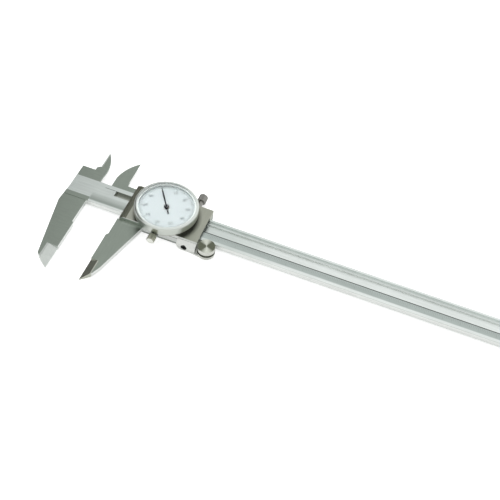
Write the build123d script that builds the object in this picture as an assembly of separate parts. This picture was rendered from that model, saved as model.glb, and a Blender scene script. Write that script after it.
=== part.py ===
from build123d import *
import math
import os

# A dial caliper lying on its back, dial up, in millimetres.
# The origin is the point where the dial's axis meets the back of the slider.
# +X runs along the beam to its free end, +Y to the inside jaws, +Z out of the dial.

# Measuring range and how far the jaws are open
opening = 20.0
capacity = 200.0
jaw_to_dial = 25.2

# Clearances, and how far a cutting body reaches beyond what it cuts
slide_gap = 0.05
turn_gap = 0.04
thread_gap = 0.02
seat_gap = 0.1
overrun = 1.0

# Beam
beam_width = 16.0
beam_thickness = 3.5
beam_past_capacity = 72.0
back_plate_thickness = 1.6

# Groove in the beam's face, the rack in it, and the cutter's run-out slot
groove_depth = 2.0
groove_land = 1.3
groove_width = 8.4
groove_start = 30.0
slot_start = 12.0
slot_margin = 0.2
rack_width = 2.0
rack_thickness = 0.9
rack_end_margin = 4.0
rack_pin_radius = 0.5
rack_pin_depth = 1.0
rack_pin_count = 5

# Gear train: one turn of the rack pinion for 10 mm, one turn of the pointer for 2 mm
rack_pitch = 0.625
pinion_teeth = 16
rack_addendum = 0.16
rack_dedendum = 0.24
rack_backlash = 0.08
pressure_angle = 20.0
wheel_module = 0.12
wheel_teeth = 100
centre_teeth = 20
wheel_backlash = 0.06
wheel_thickness = 0.35
wheel_lift = 0.55
wheel_gap = 0.1
wheel_window_count = 5
wheel_window_radius = 1.2
wheel_window_circle = 3.6
wheel_overlap = 0.2
pinion_foot_gap = 0.2
arbor_foot_gap = 0.1
collet_height = 0.25
spring_radius = 2.4
spring_wire = 0.3
spring_opening = 1.0

# Outside jaws, measured from the measuring faces, the beam's middle line and the tips
head_length = 14.4
jaw_reach = 59.3
jaw_face_drop = 0.2
jaw_relief = 1.0
jaw_relief_end = 25.0
jaw_tip_flat = 0.8
bevel_length = 14.8
fixed_bevel_width = 6.2
fixed_flare = 15.3
fixed_flare_drop = 13.5
fixed_shoulder = 11.7
fixed_shoulder_rise = 26.4
fixed_toe = 7.9
fixed_toe_rise = 6.7
moving_bevel_width = 4.6
moving_root = 18.0
moving_flare = 15.9
moving_flare_drop = 15.2
moving_shoulder = 7.1
moving_shoulder_rise = 11.1
moving_toe = 5.0
moving_toe_rise = 6.2

# Inside jaws
inside_edge = 4.9
inside_reach = 32.4
inside_gap = 0.1
inside_bevel = 1.5
inside_land = 0.4
inside_bow_drop = 6.9
ear_height = 7.8
ear_heel_drop = 2.5
ear_step = 1.5
ear_step_rise = 2.2
ear_slope_rise = 3.5
fixed_bow = 1.1
moving_inside_width = 8.3
moving_inside_shoulder = 3.2
moving_bow = 5.3
moving_foot = 5.8
moving_step = 0.6
moving_step_rise = 1.2
moving_step_drop = 0.3

# Slider
slider_left = 23.2
slider_right = 23.8
upper_wall = 5.25
lower_wall = 4.75
slider_face = 2.2
reading_bevel_width = 2.4
reading_bevel_drop = 1.1
edge_chamfer = 0.25

# Gib strip and its screws
gib_thickness = 0.8
gib_end_wall = 1.0
gib_screw_radius = 1.0
gib_screw_left = -15.5
gib_screw_middle = 1.0
gib_screw_head_depth = 0.5

# Screws that hold the back plate, the case and the end stop
small_screw_radius = 1.0
small_head_radius = 1.8
small_screw_length = 4.2
back_screw_end_inset = 4.2
back_screw_side_inset = 2.4
back_screw_from_bracket = 8.0
slot_cut = 0.4
drill_past = 0.4

# Dial case, bezel, dial face and crystal
case_radius = 16.6
case_wall = 1.1
case_floor = 1.0
case_height = 4.3
bezel_wall = 1.66
bezel_height = 5.2
bezel_lift = 2.35
bezel_lip = 1.6
bezel_round = 1.3
bezel_shoulder_width = 0.7
dial_thickness = 0.4
dial_gap = 0.25
dial_hole_radius = 1.3
crystal_thickness = 1.0
crystal_drop = 0.25
ring_section = 0.5
ring_lift = 3.3
ring_opening = 1.2
zero_turn = 33.7

# Movement inside the case
bridge_lift = 2.1
bridge_thickness = 0.8
bridge_rim = 0.75
pillar_radius = 1.1
pillar_inset = 4.1
pillar_peg = 0.7
pillar_floor = 0.3
pillar_angles = (80.0, 180.0, 270.0)
bridge_screw_head = 0.35
bridge_window_radius = 3.0
bridge_window_inset = 3.7
bridge_window_angles = (130.0, 225.0, 310.0)
case_screw_angles = (140.0, 225.0, 305.0)
case_screw_radius = 0.8
case_screw_head = 1.4
case_screw_head_height = 0.5
case_screw_bite = 1.4
driver_gap = 0.3
arbor_radius = 0.6
bush_radius = 1.4
bush_floor = 0.2
bush_rise = 0.1
web_hole_margin = 0.35
case_roof = 0.4

# Pointer
pointer_tip_gap = 0.7
pointer_tail = 5.0
pointer_hub_radius = 1.45
pointer_width = 1.1
pointer_neck = 0.36
pointer_tip = 0.16
pointer_tail_width = 0.88
pointer_widest = 8.4
pointer_thickness = 0.25
pointer_gap = 0.5

# Bezel clamp
clamp_lift = 1.1
clamp_neck = 0.6
clamp_screw_radius = 1.0
clamp_screw_bite = 1.0
clamp_head_radius = 2.3
clamp_head_length = 4.3
clamp_block_length = 4.8
clamp_block_width = 1.3
knob_chamfer = 0.4

# Lock screw on the slider's upper edge
lock_x = 13.8
lock_radius = 1.5
lock_neck_length = 6.0
lock_head_radius = 2.6
lock_head_length = 5.0
shoe_thickness = 0.9

# Thumb roller and its bracket
roller_radius = 5.0
roller_end_gap = 0.9
roller_above_beam = 2.7
roller_groove_depth = 0.8
roller_groove_top = 2.6
roller_groove_width = 1.7
axle_radius = 0.8
axle_head_radius = 1.2
axle_head_height = 0.4
bracket_length = 11.2
bracket_depth = 2.9
bracket_top_depth = 0.7
bracket_slope_height = 1.8
bracket_below_face = 1.0
bracket_base = 0.4
bracket_corner = 3.8
arm_thickness = 1.0
arm_radius = 3.9
arm_root = 3.0
bracket_screw_inset = 4.6
bracket_screw_drop = 2.15
bracket_screw_radius = 1.2
bracket_screw_grip = 3.6
bracket_head_radius = 1.8
bracket_head_height = 1.1
bracket_head_sink = 0.3
socket_radius = 0.75
socket_depth = 0.7

# Depth rod in the beam's back
rod_width = 3.0
rod_thickness = 1.0
rod_side_gap = 0.08
rod_back_gap = 0.1
rod_inset = 3.4
rod_seat_length = 12.0
rod_notch = 1.2
rivet_radius = 0.6
rivet_sink = 0.2

# End stop under the beam's free end
stop_length = 8.0
stop_thickness = 1.3
stop_margin = 0.8
stop_screw_inset = 3.0
stop_screw_spacing = 4.4
stop_screw_bite = 1.0

# Levels above the surface that the slider's back lies on
beam_back = back_plate_thickness + slide_gap
beam_face = beam_back + beam_thickness
web_back = beam_face + slide_gap
slider_front = web_back + slider_face
case_bed = slider_front + case_floor
case_rim = slider_front + case_height
bezel_base = slider_front + bezel_lift
bezel_top = bezel_base + bezel_height
dial_base = case_rim + dial_gap
dial_top = dial_base + dial_thickness
crystal_top = bezel_top - crystal_drop
crystal_base = crystal_top - crystal_thickness
groove_floor = beam_face - groove_depth
rack_top = groove_floor + rack_thickness
mid_beam = beam_back + beam_thickness / 2
jaw_back = beam_back + jaw_face_drop
jaw_front = beam_face - jaw_face_drop
rod_back = beam_back + rod_back_gap
bridge_base = case_bed + bridge_lift
bridge_top = bridge_base + bridge_thickness
wheel_bases = (case_bed + wheel_lift, case_bed + wheel_lift + wheel_thickness + wheel_gap)
clamp_level = slider_front + clamp_lift
bracket_top = slider_front - bracket_below_face
bracket_screw_z = beam_face - bracket_screw_drop
roller_base = bracket_base + arm_thickness + seat_gap
roller_top = beam_face + roller_above_beam

# Places along the beam
moving_face = -jaw_to_dial
fixed_face = moving_face - opening
head_end = fixed_face - head_length
beam_end = fixed_face + capacity + beam_past_capacity
rod_groove_start = -slider_left - opening - seat_gap
fixed_edge = fixed_face - inside_edge
moving_edge = moving_face - inside_edge
bracket_left = slider_right - bracket_length
bracket_screw_x = bracket_left + bracket_screw_inset
roller_x = slider_right + roller_end_gap + roller_radius

# Places across the beam
half_width = beam_width / 2
wall_inner = half_width + slide_gap
slider_top = wall_inner + upper_wall
slider_bottom = wall_inner + lower_wall
ear_top = half_width + ear_height
groove_top = half_width - groove_land
groove_bottom = groove_top - groove_width
rod_y = rod_inset - half_width
roller_y = -(half_width + roller_radius + slide_gap)
bracket_outer = -slider_bottom - bracket_depth

# Round pieces about the dial's axis
bezel_radius = case_radius + turn_gap + bezel_wall
crystal_radius = bezel_radius - bezel_lip
bezel_shoulder = case_radius - bezel_shoulder_width
pillar_circle = case_radius - pillar_inset
bridge_window_circle = pillar_circle - bridge_window_inset
pointer_length = bezel_shoulder - pointer_tip_gap

# Gear centres: the pinion's pitch circle rolls on the rack's pitch line
pinion_pitch_radius = pinion_teeth * rack_pitch / (2 * math.pi)
rack_pitch_y = groove_top - rack_width + rack_addendum
rack_root_y = rack_pitch_y + rack_dedendum
rack_pin_y = (groove_top + rack_root_y) / 2
pinion_y = rack_pitch_y - pinion_pitch_radius
centre_distance = wheel_module * (wheel_teeth + centre_teeth) / 2
pinion_x = math.sqrt(centre_distance**2 - pinion_y**2)
towards_centre = math.degrees(math.atan2(-pinion_y, -pinion_x))
pinion_tip_radius = pinion_pitch_radius + rack_addendum
arbor_places = ((0, 0), (pinion_x, pinion_y))

# Tooth height of the wheels above and below the pitch circle, as shares of the module
wheel_addendum = 0.8 * wheel_module
wheel_dedendum = 1.2 * wheel_module


def bar(x0, x1, y0, y1, z0, z1):
    return Pos((x0 + x1) / 2, (y0 + y1) / 2, (z0 + z1) / 2) * Box(x1 - x0, y1 - y0, z1 - z0)


def disc(radius, z0, z1, x=0.0, y=0.0):
    return Pos(x, y, (z0 + z1) / 2) * Cylinder(radius, z1 - z0)


def pin_along_y(radius, y0, y1, x, z):
    return Pos(x, (y0 + y1) / 2, z) * Rot(90, 0, 0) * Cylinder(radius, abs(y1 - y0))


def plate(outline, z0, z1):
    return Pos(0, 0, z0) * extrude(outline, z1 - z0, dir=(0, 0, 1))


def polygon(points):
    return make_face(Polyline(*points, close=True))


def turned(profile):
    """A solid of revolution about Z from (radius, height) points."""
    return revolve(Plane.XZ * polygon(profile), Axis.Z)


def on_circle(radius, degrees):
    return radius * math.cos(math.radians(degrees)), radius * math.sin(math.radians(degrees))


def gear_outline(teeth, pitch_radius, addendum, dedendum, backlash, phase):
    """Straight-flanked teeth, one of them centred on the direction phase."""
    half = math.pi * pitch_radius / (2 * teeth) - backlash / 2
    slope = math.tan(math.radians(pressure_angle))
    levels = ((-dedendum, -1), (addendum, -1), (addendum, 1), (-dedendum, 1))
    points = []
    for tooth in range(teeth):
        middle = phase + 360 * tooth / teeth
        for level, side in levels:
            radius = pitch_radius + level
            points.append(on_circle(radius, middle + side * math.degrees((half - level * slope) / radius)))
    return polygon(points)


def slotted_screw(head_radius, head_height, radius, length):
    """A cheese-head screw on +Z: head above z = 0, plain shank below."""
    body = disc(head_radius, 0, head_height) + disc(radius, -length, 0)
    return body - bar(-head_radius, head_radius, -slot_cut / 2, slot_cut / 2, head_height / 2, head_height)


def flush_screw(length):
    """A small countersunk screw on +Z with its top at z = 0."""
    drop = small_head_radius - small_screw_radius
    screw = turned(((0, 0), (small_head_radius, 0), (small_screw_radius, -drop),
                    (small_screw_radius, -length), (0, -length)))
    return screw - bar(-small_head_radius, small_head_radius, -slot_cut / 2, slot_cut / 2, -drop / 2, 0)


def flush_hole(length):
    """The countersunk hole for such a screw, as a solid to cut with."""
    rim = small_head_radius + thread_gap
    bore = small_screw_radius + thread_gap
    drop = small_head_radius - small_screw_radius
    return turned(((0, thread_gap), (rim, thread_gap), (rim, 0), (bore, -drop),
                   (bore, -length), (0, -length)))


# Beam with the fixed jaws, one piece

def outside_jaw(face, back, flare, shoulder, toe, top):
    """Outline of an outside jaw. face is the x of its measuring face.

    flare, shoulder and toe are the back edge's corners, as (distance from the face, y).
    """
    side = math.copysign(1, back)
    relief = face + side * jaw_relief
    return polygon((
        (relief, top),
        (relief, -jaw_relief_end),
        (face, -jaw_relief_end - jaw_relief),
        (face, -jaw_reach),
        (face + side * toe[0], toe[1]),
        (face + side * shoulder[0], shoulder[1]),
        (face + side * flare[0], flare[1]),
        (face + back, top),
    ))


def knife_wedge(face, side, width):
    """What is ground off a jaw's tip, on the front and on the back, to leave a thin edge."""
    depth = (beam_thickness - jaw_tip_flat) / 2
    mouth = jaw_reach - bevel_length
    profile = polygon(((0, 0), (0, depth), (-width, 0)))
    wedge = extrude(Plane.XZ * profile, bevel_length + overrun, dir=(0, -1, 0))
    low = Pos(0, -mouth, beam_back) * wedge
    high = Pos(0, -mouth, beam_face) * mirror(wedge, Plane.XY)
    cut = low + high
    if side > 0:
        cut = mirror(cut, Plane.YZ)
    return Pos(face, 0, 0) * cut


def fixed_inside_jaw():
    tip = (fixed_edge, inside_reach)
    heel = (fixed_face, ear_top - ear_heel_drop)
    back_edge = ThreePointArc(tip, (fixed_face - fixed_bow, inside_reach - inside_bow_drop), heel)
    step = fixed_edge - ear_step
    rest = Polyline(
        heel, (fixed_face, 0), (head_end, 0), (head_end, ear_top),
        (step, ear_top), (step, ear_top + ear_step_rise), (fixed_edge, ear_top + ear_slope_rise), tip,
    )
    return make_face(Curve() + [back_edge, rest])


def edge_grind(edge, start, z_edge, z_face, side):
    """The strip ground off along an inside jaw's measuring edge, from y = start to the tip."""
    profile = polygon(((-side * overrun, z_face), (side * inside_bevel, z_face), (0, z_edge),
                       (-side * overrun, z_edge)))
    return Pos(edge, start, 0) * extrude(Plane.XZ * profile, inside_reach + overrun - start, dir=(0, 1, 0))


def make_beam():
    beam = bar(head_end, beam_end, -half_width, half_width, beam_back, beam_face)
    jaw = plate(outside_jaw(fixed_face, -head_length,
                            (fixed_flare, -fixed_flare_drop),
                            (fixed_shoulder, fixed_shoulder_rise - jaw_reach),
                            (fixed_toe, fixed_toe_rise - jaw_reach), 0.0), jaw_back, jaw_front)
    beam += jaw - knife_wedge(fixed_face, -1, fixed_bevel_width)
    ear = plate(fixed_inside_jaw(), mid_beam + inside_gap / 2, jaw_front)
    beam += ear - edge_grind(fixed_edge, ear_top + ear_slope_rise, mid_beam + inside_land, beam_face, 1)
    start = fixed_face + groove_start
    beam -= bar(start, beam_end, groove_bottom, groove_top, groove_floor, beam_face)
    slot_half = pinion_tip_radius + slot_margin
    beam -= bar(fixed_face + slot_start, start, pinion_y - slot_half, pinion_y + slot_half,
                groove_floor, beam_face)
    rod_half = rod_width / 2 + rod_side_gap
    beam -= bar(rod_groove_start, beam_end, rod_y - rod_half, rod_y + rod_half,
                beam_back, rod_back + rod_thickness + rod_back_gap)
    for x in rack_pin_places():
        beam -= disc(rack_pin_radius + thread_gap, groove_floor - rack_pin_depth, groove_floor,
                     x, rack_pin_y)
    for place in stop_screw_places():
        beam -= place * flush_hole(stop_thickness + stop_screw_bite)
    return beam


# Rack, a separate strip pinned into the upper side of the groove

def rack_start():
    """A rack tooth gap stands opposite the pinion, so the start is whole teeth away from it."""
    first = fixed_face + groove_start
    return pinion_x - rack_pitch * math.floor((pinion_x - first) / rack_pitch - 0.5)


def rack_pin_places():
    first = rack_start() + rack_end_margin
    last = beam_end - 2 * rack_end_margin
    step = (last - first) / (rack_pin_count - 1)
    return [first + step * number for number in range(rack_pin_count)]


def make_rack():
    """Teeth along the whole side that faces the pinion."""
    slope = math.tan(math.radians(pressure_angle))
    half = rack_pitch / 4 - rack_backlash / 2
    tip = rack_pitch_y - rack_addendum
    start = rack_start()
    end = beam_end - rack_end_margin
    points = [(start, groove_top), (start, rack_root_y)]
    for tooth in range(math.floor((end - start) / rack_pitch)):
        middle = start + rack_pitch * (tooth + 0.5)
        points.append((middle - half - slope * rack_dedendum, rack_root_y))
        points.append((middle - half + slope * rack_addendum, tip))
        points.append((middle + half - slope * rack_addendum, tip))
        points.append((middle + half + slope * rack_dedendum, rack_root_y))
    points += [(end, rack_root_y), (end, groove_top)]
    rack = plate(polygon(points), groove_floor, rack_top)
    for x in rack_pin_places():
        rack -= disc(rack_pin_radius + thread_gap, groove_floor, rack_top, x, rack_pin_y)
    return rack


def make_rack_pins():
    return [disc(rack_pin_radius, groove_floor - rack_pin_depth, rack_top, x, rack_pin_y)
            for x in rack_pin_places()]


# End stop on the beam's back, which also keeps the depth rod in its groove

def stop_screw_places():
    first = half_width - stop_screw_inset
    return [Pos(beam_end - stop_length / 2, y, beam_back - stop_thickness) * Rot(180, 0, 0)
            for y in (first, first - stop_screw_spacing)]


def make_end_stop():
    edge = half_width - stop_margin
    stop = bar(beam_end - stop_length, beam_end, -edge, edge, beam_back - stop_thickness, beam_back)
    stop = chamfer(stop.faces().sort_by(Axis.Z)[0].edges(), edge_chamfer)
    for place in stop_screw_places():
        stop -= place * flush_hole(stop_thickness + overrun)
    return stop


def make_end_stop_screws():
    screw = flush_screw(stop_thickness + stop_screw_bite - seat_gap)
    return [place * screw for place in stop_screw_places()]


# Slider with the moving jaws, one piece

def moving_inside_jaw():
    left = moving_edge - moving_inside_width
    tip = (moving_edge, inside_reach)
    shoulder = (left, slider_top + moving_inside_shoulder)
    back_edge = ThreePointArc(tip, (moving_edge - moving_bow, inside_reach - inside_bow_drop), shoulder)
    foot = moving_face + moving_foot
    step = slider_top - moving_step_drop
    rest = Polyline(
        shoulder, (left, wall_inner), (foot, wall_inner), (foot, step),
        (moving_edge + moving_step, step), (moving_edge, slider_top + moving_step_rise), tip,
    )
    return make_face(Curve() + [back_edge, rest])


def back_screw_places():
    left = back_screw_end_inset - slider_left
    right = slider_right - back_screw_end_inset
    top = slider_top - back_screw_side_inset
    bottom = back_screw_side_inset - slider_bottom
    places = ((left, top), (right, top), (left, bottom),
              (bracket_screw_x - back_screw_from_bracket, bottom))
    return [Pos(x, y, 0) * Rot(180, 0, 0) for x, y in places]


def make_slider():
    body = bar(-slider_left, slider_right, -slider_bottom, slider_top, back_plate_thickness, slider_front)
    front_edges = body.faces().sort_by(Axis.Z)[-1].edges()
    body = chamfer(front_edges.sort_by(Axis.X)[1:], edge_chamfer)
    ridge = -slider_left + reading_bevel_width
    outer = -slider_left - overrun
    slope = polygon(((outer, slider_front + overrun), (ridge, slider_front + overrun), (ridge, slider_front),
                     (-slider_left, slider_front - reading_bevel_drop),
                     (outer, slider_front - reading_bevel_drop)))
    span = slider_top + slider_bottom + 2 * overrun
    body -= Pos(0, slider_top + overrun, 0) * extrude(Plane.XZ * slope, span, dir=(0, -1, 0))
    jaw = plate(outside_jaw(moving_face, moving_root,
                            (moving_flare, -moving_flare_drop),
                            (moving_shoulder, moving_shoulder_rise - jaw_reach),
                            (moving_toe, moving_toe_rise - jaw_reach), -wall_inner), jaw_back, jaw_front)
    jaw -= bar(moving_face - overrun, -slider_left, -slider_bottom, -wall_inner, jaw_back, jaw_front)
    body += jaw - knife_wedge(moving_face, 1, moving_bevel_width)
    blade = plate(moving_inside_jaw(), jaw_back, mid_beam - inside_gap / 2)
    body += blade - edge_grind(moving_edge, slider_top + moving_inside_shoulder,
                               mid_beam - inside_land, beam_back, -1)
    body -= bar(-slider_left, slider_right, -wall_inner, wall_inner, back_plate_thickness, web_back)
    body -= bar(-slider_left + gib_end_wall, slider_right - gib_end_wall, wall_inner,
                wall_inner + gib_thickness + slide_gap, back_plate_thickness, web_back)
    body -= disc(pinion_tip_radius + web_hole_margin, web_back, slider_front, pinion_x, pinion_y)
    for x in (gib_screw_left, gib_screw_middle):
        body -= pin_along_y(gib_screw_radius + thread_gap, wall_inner, slider_top, x, mid_beam)
    body -= pin_along_y(lock_radius + turn_gap, wall_inner, slider_top, lock_x, mid_beam)
    for place in back_screw_places():
        body -= place * disc(small_screw_radius + thread_gap, -small_screw_length - drill_past,
                             -back_plate_thickness)
    for degrees in case_screw_angles:
        body -= disc(case_screw_radius + thread_gap, slider_front - case_screw_bite - seat_gap, slider_front,
                     *on_circle(pillar_circle, degrees))
    return body - pin_along_y(bracket_screw_radius + thread_gap, -slider_bottom,
                              -slider_bottom + bracket_screw_grip, bracket_screw_x, bracket_screw_z)


# Gib strip, its two screws, and the lock screw with its shoe

def make_gib_strip():
    return bar(-slider_left + gib_end_wall + seat_gap, slider_right - gib_end_wall - seat_gap,
               wall_inner, wall_inner + gib_thickness,
               back_plate_thickness + seat_gap, web_back - seat_gap)


def make_gib_screws():
    top = slider_top - gib_screw_head_depth
    screws = []
    for x in (gib_screw_left, gib_screw_middle):
        screw = pin_along_y(gib_screw_radius, wall_inner + gib_thickness, top, x, mid_beam)
        screws.append(screw - bar(x - gib_screw_radius, x + gib_screw_radius,
                                  top - gib_screw_head_depth, top,
                                  mid_beam - slot_cut / 2, mid_beam + slot_cut / 2))
    return screws


def make_lock_shoe():
    bottom = wall_inner + gib_thickness
    return pin_along_y(lock_radius - turn_gap, bottom, bottom + shoe_thickness, lock_x, mid_beam)


def knob(radius, y0, y1, x, z):
    head = pin_along_y(radius, y0, y1, x, z)
    return chamfer(head.edges().filter_by(GeomType.CIRCLE), knob_chamfer)


def make_lock_screw():
    foot = wall_inner + gib_thickness + shoe_thickness + slide_gap
    collar = slider_top + lock_neck_length
    head = knob(lock_head_radius, collar, collar + lock_head_length, lock_x, mid_beam)
    return head + pin_along_y(lock_radius, foot, collar, lock_x, mid_beam)


# Back plate, held by four countersunk screws, and the depth rod riveted to it

def make_back_plate():
    cover = bar(-slider_left, slider_right, -slider_bottom, slider_top, 0, back_plate_thickness)
    cover = chamfer(cover.faces().sort_by(Axis.Z)[0].edges(), edge_chamfer)
    cover += bar(-slider_left, -slider_left + rod_seat_length, rod_y - rod_width / 2, rod_y + rod_width / 2,
                 back_plate_thickness, rod_back)
    for place in back_screw_places():
        cover -= place * flush_hole(back_plate_thickness + overrun)
    for x in rivet_places():
        cover -= disc(rivet_radius + thread_gap, 0, rod_back, x, rod_y)
    return cover


def make_back_plate_screws():
    screw = flush_screw(small_screw_length)
    return [place * screw for place in back_screw_places()]


def rivet_places():
    return -slider_left + rod_seat_length / 4, -slider_left + rod_seat_length * 3 / 4


def make_depth_rod():
    """A flat blade, flush with the beam's end when the jaws are shut."""
    top = rod_back + rod_thickness
    end = beam_end + opening
    rod = bar(-slider_left, end, rod_y - rod_width / 2, rod_y + rod_width / 2, rod_back, top)
    notch = polygon(((-2 * rod_notch, -overrun), (overrun, -overrun), (overrun, rod_notch), (0, rod_notch)))
    rod -= Pos(end, rod_y - rod_width / 2, 0) * plate(notch, rod_back, top)
    for x in rivet_places():
        rod -= disc(rivet_radius + thread_gap, rod_back, top, x, rod_y)
    return rod


def make_rod_rivets():
    return [disc(rivet_radius, rivet_sink, rod_back + rod_thickness, x, rod_y) for x in rivet_places()]


# Dial case and movement

def ring_groove(depth):
    """The groove for the retaining ring, half in the case and half in the bezel, as (radius, z) corners."""
    low = slider_front + ring_lift - turn_gap
    high = low + ring_section + 2 * turn_gap
    return (case_radius + depth, low), (case_radius + depth, high)


def make_dial_case():
    inner = case_radius - case_wall
    low, high = ring_groove(-ring_section / 2 - turn_gap)
    case = turned((
        (0, slider_front), (case_radius, slider_front), (case_radius, low[1]), low, high,
        (case_radius, high[1]), (case_radius, case_rim), (inner, case_rim), (inner, case_bed), (0, case_bed),
    ))
    case -= disc(pinion_tip_radius + web_hole_margin, slider_front, case_bed - case_roof, pinion_x, pinion_y)
    for x, y in arbor_places:
        case -= disc(bush_radius, slider_front + bush_floor, case_bed, x, y)
    for degrees in case_screw_angles:
        x, y = on_circle(pillar_circle, degrees)
        case -= disc(case_screw_radius + thread_gap, slider_front, case_bed, x, y)
    for degrees in pillar_angles:
        x, y = on_circle(pillar_circle, degrees)
        case -= disc(pillar_radius / 2, case_bed - pillar_peg, case_bed, x, y)
    return case - pin_along_y(clamp_screw_radius + turn_gap, -case_radius - seat_gap,
                              -inner + clamp_screw_bite + seat_gap, 0, clamp_level)


def make_case_screws():
    screw = slotted_screw(case_screw_head, case_screw_head_height, case_screw_radius,
                          case_floor + case_screw_bite)
    return [Pos(*on_circle(pillar_circle, degrees), case_bed) * screw for degrees in case_screw_angles]


def make_bearing_bushes():
    bore = arbor_radius + turn_gap
    bushes = []
    for x, y in arbor_places:
        for low, high in ((slider_front + bush_floor, case_bed + bush_rise),
                          (bridge_base - bush_rise, bridge_top + bush_rise)):
            bushes.append(disc(bush_radius, low, high, x, y) - disc(bore, low, high, x, y))
    return bushes


def make_bridge_pillars():
    pillars = []
    for degrees in pillar_angles:
        x, y = on_circle(pillar_circle, degrees)
        post = disc(pillar_radius, case_bed, bridge_base, x, y)
        post += disc(pillar_radius / 2, case_bed - pillar_peg, case_bed, x, y)
        bore = disc(pillar_radius / 2 + thread_gap, case_bed + pillar_floor, bridge_base, x, y)
        pillars.append(post - bore)
    return pillars


def make_movement_bridge():
    bridge = disc(pillar_circle + pillar_radius + bridge_rim, bridge_base, bridge_top)
    for degrees in bridge_window_angles:
        x, y = on_circle(bridge_window_circle, degrees)
        bridge -= disc(bridge_window_radius, bridge_base, bridge_top, x, y)
    for degrees in case_screw_angles:
        x, y = on_circle(pillar_circle, degrees)
        bridge -= disc(case_screw_head + driver_gap, bridge_base, bridge_top, x, y)
    for degrees in pillar_angles:
        x, y = on_circle(pillar_circle, degrees)
        bridge -= disc(pillar_radius / 2 + thread_gap, bridge_base, bridge_top, x, y)
    for x, y in arbor_places:
        bridge -= disc(bush_radius, bridge_base, bridge_top, x, y)
    return bridge


def make_bridge_screws():
    length = bridge_thickness + bridge_lift - pillar_floor - seat_gap
    screw = slotted_screw(pillar_radius, bridge_screw_head, pillar_radius / 2, length)
    return [Pos(*on_circle(pillar_circle, degrees), bridge_top) * screw for degrees in pillar_angles]


def make_rack_arbor():
    """Sixteen-tooth pinion cut on its arbor. One tooth stands in a gap of the rack."""
    outline = gear_outline(pinion_teeth, pinion_pitch_radius, rack_addendum, rack_dedendum,
                           rack_backlash, 90)
    pinion = plate(outline, groove_floor + pinion_foot_gap, beam_face - pinion_foot_gap)
    arbor = disc(arbor_radius, groove_floor + arbor_foot_gap, bridge_top)
    collet = disc(2 * arbor_radius, wheel_bases[0] - collet_height, wheel_bases[0])
    return Pos(pinion_x, pinion_y, 0) * (pinion + arbor + collet)


def windowed_wheel(base, bore):
    """A hundred-tooth wheel on the rack's arbor, with a tooth gap that faces the centre arbor."""
    top = base + wheel_thickness
    outline = gear_outline(wheel_teeth, wheel_module * wheel_teeth / 2, wheel_addendum, wheel_dedendum,
                           wheel_backlash, towards_centre + 180 / wheel_teeth)
    wheel = plate(outline, base, top) - disc(bore, base, top)
    for number in range(wheel_window_count):
        x, y = on_circle(wheel_window_circle, 360 * number / wheel_window_count)
        wheel -= disc(wheel_window_radius, base, top, x, y)
    return Pos(pinion_x, pinion_y, 0) * wheel


def make_drive_wheel():
    return windowed_wheel(wheel_bases[0], arbor_radius)


def make_scissor_wheel():
    return windowed_wheel(wheel_bases[1], arbor_radius + thread_gap)


def make_scissor_spring():
    """An open ring of flat wire on the upper wheel, round the arbor."""
    base = wheel_bases[1] + wheel_thickness
    top = base + spring_wire
    ring = disc(spring_radius, base, top) - disc(spring_radius - spring_wire, base, top)
    half = spring_opening / 2
    return Pos(pinion_x, pinion_y, 0) * (ring - bar(0, spring_radius + overrun, -half, half, base, top))


def make_centre_arbor():
    """Twenty-tooth centre pinion, with a tooth in the wheels' gap, and its arbor up to the pointer."""
    outline = gear_outline(centre_teeth, wheel_module * centre_teeth / 2, wheel_addendum, wheel_dedendum,
                           wheel_backlash, towards_centre + 180)
    pinion = plate(outline, wheel_bases[0] - wheel_overlap, wheel_bases[1] + wheel_thickness + wheel_overlap)
    arbor_top = dial_top + pointer_gap + 2 * pointer_thickness
    return pinion + disc(arbor_radius, slider_front + bush_floor + arbor_foot_gap, arbor_top)


# Bezel with dial face and crystal, and the pointer

def outer_rims(ring):
    circles = ring.edges().filter_by(GeomType.CIRCLE)
    return circles.filter_by(lambda edge: edge.radius > bezel_radius - turn_gap).sort_by(Axis.Z)


def make_bezel():
    """Ring turned to run on the case, bored for the dial face below and the crystal above."""
    run = case_radius + turn_gap
    low, high = ring_groove(ring_section / 2 + turn_gap)
    ring = turned((
        (run, bezel_base), (bezel_radius, bezel_base), (bezel_radius, bezel_top),
        (crystal_radius, bezel_top), (crystal_radius, crystal_base),
        (bezel_shoulder, crystal_base), (bezel_shoulder, dial_top),
        (run, dial_top), (run, high[1]), high, low, (run, low[1]),
    ))
    ring = chamfer(outer_rims(ring)[0], edge_chamfer)
    return fillet(outer_rims(ring)[-1], bezel_round)


def make_retaining_ring():
    low = slider_front + ring_lift
    high = low + ring_section
    ring = disc(case_radius + ring_section / 2, low, high)
    ring -= disc(case_radius - ring_section / 2, low, high)
    return ring - bar(0, bezel_radius, -ring_opening / 2, ring_opening / 2, low, high)


def make_dial_face():
    return disc(case_radius, dial_base, dial_top) - disc(dial_hole_radius, dial_base, dial_top)


def make_crystal():
    return disc(crystal_radius, crystal_base, crystal_top)


def make_pointer():
    """A slim spear with a round hub and a short tail, turned to the dial's zero."""
    base = dial_top + pointer_gap
    top = base + 2 * pointer_thickness
    right_side = ((pointer_tip, pointer_length), (pointer_width, pointer_widest),
                  (pointer_neck, 0), (pointer_tail_width, -pointer_tail))
    left_side = [(-width, y) for width, y in reversed(right_side)]
    spear = polygon([(width / 2, y) for width, y in (*right_side, *left_side)])
    pointer = plate(spear, base, base + pointer_thickness) + disc(pointer_hub_radius, base, top)
    return Rot(0, 0, zero_turn) * (pointer - disc(arbor_radius, base, top))


# Bezel clamp: a small block under the bezel, and the knurled screw that pulls it in

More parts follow.
